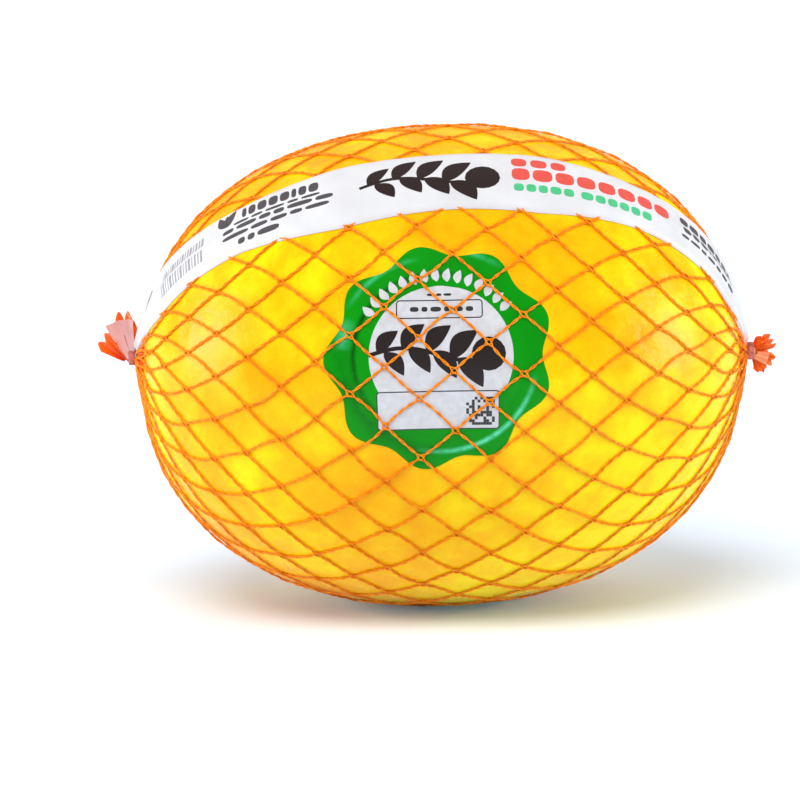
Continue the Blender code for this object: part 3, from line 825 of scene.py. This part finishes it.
def ribbon(path, width):
    """A stroke of constant width along a path of (x, y)."""
    path = np.asarray(path, float)
    direction = unit(np.gradient(path, axis=0))
    aside = np.stack((-direction[:, 1], direction[:, 0]), axis=1) * width / 2
    return np.stack((path - aside, path, path + aside), axis=1)


def filled(left_edge, right_edge, y0, y1, rows, columns):
    """A shape between two edges given as functions of y."""
    y = np.linspace(y0, y1, rows)
    left, right = np.array([left_edge(v) for v in y]), np.array([right_edge(v) for v in y])
    x = left[:, None] + (right - left)[:, None] * np.linspace(0.0, 1.0, columns)
    return np.stack(np.broadcast_arrays(x, y[:, None]), axis=-1)


def pebble(x0, x1, y, height, power=3.0):
    """A filled shape with soft corners, round like a dot or long like a bar."""
    columns = max(int((x1 - x0) / 1.2), 2) + 5
    v = np.sin(np.linspace(-pi / 2, pi / 2, 9))
    half = np.maximum(1 - np.abs(v) ** power, 0.0004)[:, None] ** (1 / power)
    u = np.linspace(-1.0, 1.0, columns)
    x = (x0 + x1) / 2 + (x1 - x0) / 2 * half * u
    return np.stack(np.broadcast_arrays(x, y + height / 2 * v[:, None]), axis=-1)


def sprig(x, y, size):
    """A curved stem with leaves in pairs and a round fruit at its end."""
    s = np.linspace(0.0, 0.8, 24)
    stem = np.stack((x + size * (s - 0.5), y + 0.05 * size * np.sin(2 * pi * s)), axis=1)
    middle, radius = x + 0.375 * size, 0.125 * size
    fruit = pebble(middle - radius, middle + radius, y, 2 * radius, 2.0)
    shapes = [ribbon(stem, 0.03 * size), fruit]
    for k, share in enumerate((0.06, 0.24, 0.42, 0.60)):
        px, py = x + size * (share - 0.5), y + 0.05 * size * sin(2 * pi * share)
        big = size * (0.22 + 0.02 * k)
        shapes.append(leaf(px, py, big, 0.5 * big, 46))
        shapes.append(leaf(px + 0.05 * size, py, big, 0.5 * big, -50))
    return shapes


def bars(left, middle, lengths, height, gap):
    """A row of marks of the given lengths."""
    shapes, x = [], left
    for length in lengths:
        shapes.append(pebble(x, x + length, middle, height))
        x += length + gap
    return shapes


def box_outline(x0, x1, y0, y1, width):
    """The outline of a box with rounded corners."""
    corner, path = 0.9, []
    for cx, cy, start in ((x1 - corner, y1 - corner, 0), (x0 + corner, y1 - corner, 90),
                          (x0 + corner, y0 + corner, 180), (x1 - corner, y0 + corner, 270)):
        for turn in np.radians(np.linspace(start, start + 90, 6)):
            path.append(np.array((cx + corner * cos(turn), cy + corner * sin(turn))))
    fine = [path[0]]
    for a, b in zip(path, path[1:] + path[:1]):
        count = max(int(np.hypot(*(b - a)) / 1.5), 1)
        fine += [a + (b - a) * k / count for k in range(1, count + 1)]
    return ribbon(fine, width)


def lay_marks(name, groups, to_surface, node_name, slot):
    """One piece of printed marks: groups of (shapes, material), laid by to_surface(plan points)."""
    builder = Builder()
    for index, (shapes, _) in enumerate(groups):
        for shape in shapes:
            builder.add_sheet(to_surface(shape), MARK_THICKNESS, finish=index)
    new_piece(name, builder.mesh(name), node_name, slot, *[finish for _, finish in groups])


# Rows of marks on the band: left end, middle line, lengths, height and gap, all in mm
BAND_ROWS = {
    "coral": ((21.5, 8.0, (4.6, 5.0, 4.6), 4.2, 1.2),
              (21.5, 2.1, (5.4, 6.0, 5.8, 5.9, 5.6, 5.9, 5.2, 5.6), 5.8, 0.95)),
    "green": ((22.0, -4.2, (3.0, 3.0, 2.8, 3.4, 3.2), 3.5, 0.75),
              (42.6, -4.2, (3.9, 3.3, 3.2, 3.2, 3.2, 3.4), 3.5, 0.75)),
    "grey right": ((78.5, 4.6, (3.6, 4.2, 3.4, 3.8, 3.2, 3.4, 2.8), 3.6, 0.8),
                   (79.5, 0.3, (3.4, 3.0, 3.6, 0.8, 2.6, 2.8, 2.6, 2.8), 3.2, 0.8),
                   (78.5, -3.4, (3.2, 4.2, 2.6, 3.8, 2.8, 3.4, 4.0), 1.2, 0.8)),
    "grey left": ((-63.0, 6.2, (1.6, 2.6, 3.2, 3.2, 3.2, 1.6, 2.6, 3.2), 4.4, 0.7),
                  (-66, 2.5, (5.5, 4.0, 6.5, 3.6, 6.0), 1.2, 1.0),
                  (-70, 0.2, (4.2, 7.2, 4.0, 3.6, 8.2, 5.6), 2.0, 1.0),
                  (-70, -2.7, (9.6, 5.8, 5.6, 4.0, 7.6), 1.7, 1.0),
                  (-64, -6.2, (2.5, 2.5, 7.4), 2.5, 1.0)),
}
LINE_WIDTHS = (0.5, 0.9, 0.4, 0.4, 1.1, 0.5, 0.7, 0.4, 1.0, 0.4, 0.6, 0.9, 0.4, 0.7, 0.5, 0.9)


def make_band_print(on_net, arcs):
    normals = grid_normals(on_net)
    outward = on_net - np.array((0.0, 0.0, CENTRE_HEIGHT))
    if np.mean(np.sum(normals * outward, axis=-1)) < 0:
        normals = -normals
    lifted = on_net + normals * (FILM_THICKNESS / 2 + 0.02 * MM)
    rows, columns = on_net.shape[:2]
    widths = np.linalg.norm(np.diff(on_net, axis=1), axis=2).sum(axis=1)

    def to_surface(plan):
        """Plan x is the arc along the band, and y is up from the band's middle line."""
        row = (plan[..., 0] * MM - arcs[0]) / (arcs[-1] - arcs[0]) * (rows - 1)
        column = (0.5 - plan[..., 1] * MM / np.interp(row, np.arange(rows), widths)) * (columns - 1)
        r0, c0 = np.clip(row.astype(int), 0, rows - 2), np.clip(column.astype(int), 0, columns - 2)
        fr, fc = (row - r0)[..., None], (column - c0)[..., None]
        low = lifted[r0, c0] * (1 - fr) + lifted[r0 + 1, c0] * fr
        high = lifted[r0, c0 + 1] * (1 - fr) + lifted[r0 + 1, c0 + 1] * fr
        return low * (1 - fc) + high * fc

    def marks(colour):
        return [mark for row in BAND_ROWS[colour] for mark in bars(*row)]

    dark = sprig(-3.0, 0.0, 42.0)
    grey = marks("grey right")
    grey += [leaf(-68.5, 3.0, 7.0, 3.2, 62), leaf(-68.5, 3.0, 7.0, 3.2, 118)]
    grey += [leaf(-68.5, 3.4, 5.2, 2.2, 90)] + marks("grey left")
    # A dark line near the left end, which is painted shade along the fold at the band's upper edge,
    # and two rows of plain upright lines before it
    edge_arcs = arc_at_radius(np.linspace(24.0, 12.5, 12) * MM, -1) / MM
    grey.append(ribbon(np.stack((edge_arcs, np.linspace(6.6, 3.6, 12)), axis=1), 0.5))
    pale = [ribbon([(-99.0 + 1.35 * k, y) for y in np.linspace(low, high, 6)], width)
            for low, high in ((-5.6, -0.9), (0.7, 4.8)) for k, width in enumerate(LINE_WIDTHS)]
    lay_marks("film_print", [
        (dark, print_material("ink_brown", (0.020, 0.009, 0.008))),
        (marks("coral"), print_material("ink_coral", (0.78, 0.085, 0.060))),
        (marks("green"), print_material("ink_green", (0.070, 0.52, 0.22))),
        (grey, print_material("ink_grey_and_painted_fold_shade", (0.075, 0.065, 0.070))),
        (pale, print_material("ink_pale_grey", (0.33, 0.32, 0.34))),
    ], to_surface, "label_band", "film")


# The sticker

STICKER_MIDDLE = unit(np.array((STICKER_X / HALF_HEIGHT, cos(STICKER_ANGLE),
                                sin(STICKER_ANGLE))))
STICKER_UP = unit(np.cross(STICKER_MIDDLE, (1.0, 0.0, 0.0)))
STICKER_ALONG = np.cross(STICKER_UP, STICKER_MIDDLE)


def on_sticker(plan, height):
    """Points this many mm above the skin, for plan points in mm from the sticker's middle."""
    reach = np.maximum(np.hypot(plan[..., 0], plan[..., 1]), 1e-9)
    across = (plan[..., :1] * STICKER_ALONG + plan[..., 1:] * STICKER_UP) / reach[..., None]
    bend = (reach * MM / STICKER_BEND_RADIUS)[..., None]
    direction = STICKER_MIDDLE * np.cos(bend) + across * np.sin(bend)
    return fruit_points(direction, SKIN_HEIGHT + height * MM)[0]


def make_sticker():
    """The scalloped sticker, a disc whose lobes lift slightly at the edge."""
    turns = np.arange(STICKER_COLUMNS) * 2 * pi / STICKER_COLUMNS
    wave = STICKER_SCALLOP * np.cos(STICKER_LOBES * (turns - FIRST_LOBE_ANGLE))
    wave = wave + STICKER_STRETCH * np.cos(2 * (turns - STRETCH_ANGLE))
    shares = np.linspace(0.02, 1.0, STICKER_ROWS)[:, None]
    reach = (shares * STICKER_RADIUS + shares ** 4 * wave) / MM
    plan = np.stack((reach * np.cos(turns), reach * np.sin(turns)), axis=-1)
    ripple = STICKER_RIPPLE * share_between(shares, 0.8, 1.0)
    ripple = ripple * (1 + np.sin(STICKER_LOBES * turns + 1.0))
    top, under = on_sticker(plan, STICKER_TOP + ripple), on_sticker(plan, STICKER_UNDER + ripple)
    rows, columns = top.shape[:2]
    size = rows * columns
    faces = grid_faces(rows, columns, closed_columns=True)
    rim = np.arange(size - columns, size)
    after = np.roll(rim, -1)
    side = np.stack((rim, after, after + size, rim + size), axis=1)
    faces = np.concatenate((faces, faces[:, ::-1] + size, side)).tolist()
    faces += [list(range(columns)), list(range(size, size + columns))]
    place = plan / STICKER_PLAN + 0.5
    builder = Builder()
    builder.add(np.concatenate((top, under)), faces, place=np.concatenate((place, place)))
    new_piece("sticker", builder.mesh("sticker"), "seal_sticker", "sticker_paper",
              sticker_material())


def make_sticker_print():
    """The white middle, a round part above a box, and the marks on it. Sizes in mm."""
    circle_x, circle_radius, circle_top = 0.6, 21.6, 21.58
    box_x, box_low, box_high, box_half_width, corner = -0.6, -22.1, -10.3, 17.5, 0.9

    def circle_half(y):
        return sqrt(max(circle_radius ** 2 - y ** 2, 0.04))

    def box_half(y):
        inward = corner - min(y - box_low, box_high - y, corner)
        return box_half_width + sqrt(max(corner ** 2 - inward ** 2, 0.0))

    white = [filled(lambda y: circle_x - circle_half(y), lambda y: circle_x + circle_half(y),
                    box_high - 0.3, circle_top, 40, 30),
             filled(lambda y: box_x - box_half(y), lambda y: box_x + box_half(y),
                    box_low, box_high, 16, 30)]
    # Small seeds in a ring where the border has room for them
    seed_radius = 23.0
    for turn in np.radians(np.linspace(146, 36, 15)):
        x, y = seed_radius * cos(turn), seed_radius * sin(turn)
        white.append(leaf(x, y, 4.4, 2.5, degrees(turn), 9))
    dark = sprig(-0.5, 0.6, 41.0)
    line_width = 0.35
    lines = [box_outline(-12.6, 13.2, 11.6, 17.0, line_width),
             box_outline(-18.9, 17.8, -22.0, -10.5, line_width)]
    lines += bars(-8.6, 14.3, (2.6, 1.8, 3.2, 2.0, 2.8, 2.2), 1.5, 0.9)
    lines += bars(-3.4, 18.8, (2.2, 1.6, 2.4), 0.8, 0.6)
    # A square of blocks, set at random
    chance = np.random.default_rng(5)
    blocks, block_pitch, block_side, block_share = 10, 0.86, 0.84, 0.55
    for row in range(blocks):
        for column in range(blocks):
            if chance.random() < block_share:
                x, y = 7.9 + block_pitch * column, -20.9 + block_pitch * row
                lines.append(filled(lambda v, x=x: x, lambda v, x=x: x + block_side,
                                    y, y + block_side, 2, 2))
    lay_marks("sticker_white", [(white, print_material("paper_white", (0.63, 0.62, 0.64), 0.32))],
              lambda plan: on_sticker(plan, WHITE_HEIGHT), "seal_sticker", "sticker_paper")
    lay_marks("sticker_ink", [
        (dark, print_material("ink_brown_sticker", (0.016, 0.008, 0.008), 0.3)),
        (lines, print_material("ink_line", (0.03, 0.03, 0.03), 0.35)),
    ], lambda plan: on_sticker(plan, INK_HEIGHT), "seal_sticker", "sticker_paper")


# The clips

def make_clip(name, end):
    """A crimped strip of metal bent round the neck, pinched where its two ends meet."""
    corners = np.arange(CLIP_CORNERS) * 2 * pi / CLIP_CORNERS
    c, s = np.cos(corners), np.sin(corners)
    along = CLIP_HALF_WIDTH * np.sign(c) * np.abs(c) ** 0.5
    high = CLIP_HALF_THICKNESS * np.sign(s) * np.abs(s) ** 0.5
    middle, *_ = end_frame(end, CLIP_WAY)
    rows = []
    for turn in np.radians(np.linspace(-CLIP_HALF_TURN, CLIP_HALF_TURN, CLIP_STATIONS)):
        pinch = max(abs(turn) - radians(CLIP_PINCH_FROM), 0.0)
        pinch = pinch / radians(CLIP_HALF_TURN - CLIP_PINCH_FROM)
        radius = CLIP_RADIUS * (1 + 0.05 * cos(4 * turn)) * (1 - 0.10 * pinch)
        around = np.array((0.0, -cos(turn + 0.5), sin(turn + 0.5)))
        rows.append(middle + along[:, None] * (end["side"], 0, 0)
                    + (radius + high)[:, None] * around)
    builder = Builder()
    builder.add(np.array(rows), tube_faces(CLIP_STATIONS, CLIP_CORNERS))
    new_piece(name + "_crimped", builder.mesh(name), name, "clip_metal", clip_material())


# Floor, light and camera

def make_floor():
    mesh = bpy.data.meshes.new("floor")
    corners = [(x * FLOOR_HALF, y * FLOOR_HALF, 0) for x, y in ((-1, -1), (1, -1), (1, 1), (-1, 1))]
    mesh.from_pydata(corners, [], [(0, 1, 2, 3)])
    material, _, shader = new_material("floor")
    feed(shader, {
        "Base Color": (0.83, 0.90, 0.98, 1.0), "Roughness": 0.8, "Specular IOR Level": 0.1,
        "Emission Color": (0.15, 0.50, 1.0, 1.0), "Emission Strength": 0.10})
    new_object("floor", mesh, material)


def make_sun(name, azimuth, elevation, strength, spread, glossy):
    """A broad distant light. The azimuth is from the camera's side towards the right."""
    light = bpy.data.lights.new(name, "SUN")
    light.energy = strength
    light.angle = radians(spread)
    lamp = bpy.data.objects.new(name, light)
    bpy.context.scene.collection.objects.link(lamp)
    a, e = radians(azimuth), radians(elevation)
    place = Vector((sin(a) * cos(e), -cos(a) * cos(e), sin(e)))
    lamp.location = place
    lamp.rotation_euler = place.to_track_quat("Z", "Y").to_euler()
    lamp.visible_glossy = glossy


def make_lights():
    world = bpy.data.worlds.new("studio")
    bpy.context.scene.world = world
    world.use_nodes = True
    feed(world.node_tree.nodes["Background"],
         {"Color": (1.0, 1.0, 1.0, 1.0), "Strength": WORLD_STRENGTH})
    for name, settings in LIGHTS.items():
        make_sun(name, *settings)
    bpy.context.scene.view_settings.view_transform = "Standard"


def make_camera():
    """The photograph's view: from the sticker's side, a little above, from far away."""
    camera = bpy.data.objects.new("camera", bpy.data.cameras.new("camera"))
    bpy.context.scene.collection.objects.link(camera)
    bpy.context.scene.camera = camera
    radius = HALF_HEIGHT + 1.0 * MM
    tangent_length = sqrt(CAMERA_DISTANCE ** 2 - radius ** 2)
    focal_pixels = FRUIT_HALF_HEIGHT_PIXELS * tangent_length / radius
    camera.data.sensor_width = SENSOR_WIDTH
    camera.data.lens = focal_pixels * SENSOR_WIDTH / FRAME_SIZE
    forward = Vector((0.0, cos(CAMERA_ELEVATION), -sin(CAMERA_ELEVATION)))
    right = Vector((1.0, 0.0, 0.0))
    up = Vector((0.0, sin(CAMERA_ELEVATION), cos(CAMERA_ELEVATION)))
    # A clockwise roll of the camera turns the picture the other way
    rolled_right = right * cos(CAMERA_ROLL) - up * sin(CAMERA_ROLL)
    rolled_up = up * cos(CAMERA_ROLL) + right * sin(CAMERA_ROLL)
    metres_a_pixel = CAMERA_DISTANCE / focal_pixels
    aside = (FRUIT_PIXEL[0] - FRAME_SIZE / 2) * metres_a_pixel
    above = (FRAME_SIZE / 2 - FRUIT_PIXEL[1]) * metres_a_pixel
    middle = Vector((0.0, 0.0, CENTRE_HEIGHT))
    camera.location = middle - forward * CAMERA_DISTANCE - rolled_right * aside - rolled_up * above
    camera.rotation_euler = Matrix((rolled_right, rolled_up, -forward)).transposed().to_euler()
    camera.data.clip_start = 0.05
    camera.data.clip_end = 50.0


make_camera()
make_fruit()
make_net()
for end_name, end_facts in ENDS.items():
    make_gather("net_cone_" + end_name, end_facts)
    make_tail("net_tail_" + end_name, end_facts, PETALS[end_name])
    make_clip("clip_" + end_name, end_facts)
make_band_print(*make_band())
make_sticker()
make_sticker_print()
make_floor()
make_lights()
